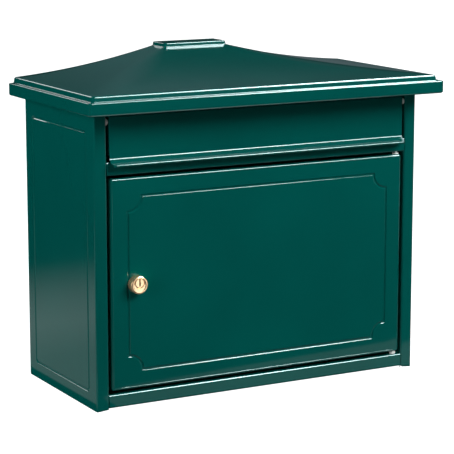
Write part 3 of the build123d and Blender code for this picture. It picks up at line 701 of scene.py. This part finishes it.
def one_sided(material):
    """Let a stage material be clear from behind, so that the underside can be looked at."""
    tree = material.node_tree
    clear = tree.nodes.new("ShaderNodeBsdfTransparent")
    side = tree.nodes.new("ShaderNodeNewGeometry")
    mix = tree.nodes.new("ShaderNodeMixShader")
    tree.links.new(side.outputs["Backfacing"], mix.inputs["Fac"])
    tree.links.new(tree.nodes["Principled BSDF"].outputs["BSDF"], mix.inputs[1])
    tree.links.new(clear.outputs["BSDF"], mix.inputs[2])
    tree.links.new(mix.outputs["Shader"], tree.nodes["Material Output"].inputs["Surface"])


def fade_out(material, stops):
    """Let a stage card's glow follow (distance behind the middle of the object, glow) stops."""
    tree = material.node_tree
    coordinates = tree.nodes.new("ShaderNodeTexCoord")
    split = tree.nodes.new("ShaderNodeSeparateXYZ")
    tree.links.new(coordinates.outputs["Object"], split.inputs["Vector"])
    glow = ramp(tree, split.outputs["Y"], stops)
    tree.links.new(glow, tree.nodes["Principled BSDF"].inputs["Emission Strength"])


def pieces_in(*slot_names):
    """The pieces that carry the material of one of some slots."""
    chosen = [MATERIALS[slot_name] for slot_name in slot_names]
    meshes = [obj for obj in bpy.context.scene.objects if obj.type == "MESH" and obj.data.materials]
    return [obj for obj in meshes if obj.data.materials[0] in chosen]


def link_light(light, pieces, state="INCLUDE"):
    """Let a light serve some pieces alone, or with EXCLUDE all pieces but those."""
    group = bpy.data.collections.new(light.name + "_pieces")
    for piece in pieces:
        group.objects.link(piece)
    for entry in group.collection_objects:
        entry.light_linking.link_state = state
    light.light_linking.receiver_collection = group


def studio_floor():
    """White floor for the camera, with separate cards for bounced light and for reflections."""
    wide = [(-30, -30), (30, -30), (30, 30), (-30, 30)]
    one_sided(stage_card("floor", wide, 0.3, 1.1, ("camera",)).data.materials[0])
    stage_card("floor_bounce", wide, 0.16, 0.12, ("diffuse",))
    beside = [(-1.2, -0.3), (-0.2, -0.3), (-0.2, 0.9), (-1.2, 0.9)]
    left = stage_card("card_left", beside, 0.0, 0.0, ("glossy",))
    fade_out(left.data.materials[0], [(0.05, 0.28), (0.2, 0.42), (0.33, 0.3), (0.52, 0.0)])
    before = [(-0.16, -0.18), (0.6, -0.18), (0.6, -0.3), (-0.16, -0.22)]
    stage_card("card_front", before, 0.0, 0.4, ("glossy",))


def studio_lights():
    """Soft fills that only shade, strips that only shine, and small lights for single pieces."""
    middle = (0, -0.1, 0.02)
    for name, place, size, radiance in (
        ("key", (1.4, -1.9, 1.8), (2.0, 1.4), 11.5),
        ("left_fill", (-3.0, -0.6, 0.8), (2.0, 2.0), 6.2),
        ("back_fill", (0.6, 3.0, 0.7), (2.0, 2.0), 5.0),
        ("under_fill", (0.2, 0.8, -2.2), (2.0, 1.2), 6.0),
    ):
        area_light(name, place, middle, size, radiance, glossy=False)
    strips = {}
    for name, place, size, radiance, colour in (
        ("overhead_strip", (0.95, -0.38, 1.5), (1.4, 0.36), 44.0, SKYLIGHT),
        ("front_strip", (1.05, -1.3, 1.5), (1.6, 0.9), 32.0, SKYLIGHT),
        ("back_left_strip", (-0.6, 2.0, 1.1), (0.7, 0.5), 4.5, DAYLIGHT),
        ("right_card", (2.0, -0.5, -0.05), (1.2, 0.7), 0.8, DAYLIGHT),
    ):
        strips[name] = area_light(name, place, middle, size, radiance, diffuse=False, colour=colour)
    link_light(strips["front_strip"], [bpy.data.objects["door_pan"]], "EXCLUDE")
    lock_place = (-0.143, -0.17, -0.027)
    for name, place, radiance in (
        ("lock_light", (0.33, -1.0, -0.05), 1.6),
        ("lock_side_light", (-1.2, 0.1, 0.1), 3.0),
    ):
        light = area_light(name, place, lock_place, (0.8, 0.8), radiance)
        link_light(light, pieces_in("lock_brass", "zinc_plated_steel"))
    eave_place = (0, -0.15, 0.14)
    under = area_light("under_hood_light", (0.3, -0.6, -1.0), eave_place, (1.6, 0.8), 1.8, diffuse=False)
    link_light(under, [bpy.data.objects["roof_hood_pressing"]])


def combine(tree, operation, first, second):
    """Vector sum or product of two colours."""
    node = tree.nodes.new("ShaderNodeVectorMath")
    node.operation = operation
    tree.links.new(first, node.inputs[0])
    tree.links.new(second, node.inputs[1])
    return node.outputs["Vector"]


def studio_world():
    """White for the camera; for other rays a dim wall behind the box, and dark all round."""
    world = bpy.data.worlds.new("studio")
    bpy.context.scene.world = world
    world.use_nodes = True
    tree = world.node_tree
    path = tree.nodes.new("ShaderNodeLightPath")
    coordinates = tree.nodes.new("ShaderNodeTexCoord")
    split = tree.nodes.new("ShaderNodeSeparateXYZ")
    tree.links.new(coordinates.outputs["Generated"], split.inputs["Vector"])
    x, y, z = (split.outputs[axis] for axis in "XYZ")
    wall = ramp(tree, y, [(0.7, 0.0), (0.78, (0.022, 0.03, 0.033)), (0.86, (0.086, 0.105, 0.12))])
    over_horizon = ramp(tree, z, [(0.08, 0.0), (0.27, 1.0)])
    to_right = ramp(tree, x, [(0.38, 0.0), (0.5, (0.1, 0.115, 0.13))])
    at_horizon = ramp(tree, z, [(0.0, 1.0), (0.1, 0.0)])
    behind = ramp(tree, y, [(0.6, 0.0), (0.8, 1.0)])
    high_glow = combine(tree, "MULTIPLY", wall, over_horizon)
    low_glow = combine(tree, "MULTIPLY", combine(tree, "MULTIPLY", behind, to_right), at_horizon)
    choose = tree.nodes.new("ShaderNodeMix")
    choose.data_type = "RGBA"
    choose.inputs["B"].default_value = (1, 1, 1, 1)
    tree.links.new(path.outputs["Is Camera Ray"], choose.inputs["Factor"])
    tree.links.new(combine(tree, "ADD", high_glow, low_glow), choose.inputs["A"])
    tree.links.new(choose.outputs["Result"], tree.nodes["Background"].inputs["Color"])


def camera():
    """Long lens from the left and a little above, as in a catalogue view."""
    data = bpy.data.cameras.new("camera")
    data.sensor_width = 36
    data.lens = 152.6
    data.clip_start, data.clip_end = 0.1, 100
    eye = bpy.data.objects.new("camera", data)
    eye.location = (-0.9628, -1.8599, 0.388)
    yaw, pitch = math.radians(28.658), math.radians(10.823)
    eye.rotation_euler = (math.pi / 2 - pitch, 0, -yaw)
    bpy.context.scene.collection.objects.link(eye)
    bpy.context.scene.camera = eye


roof_hood()
door_panel()
for panel_side in (-1, 1):
    side_panel(panel_side)
flap_panel()
lock_housing()
studio_floor()
studio_lights()
studio_world()
camera()
bpy.context.scene.view_settings.view_transform = "Standard"
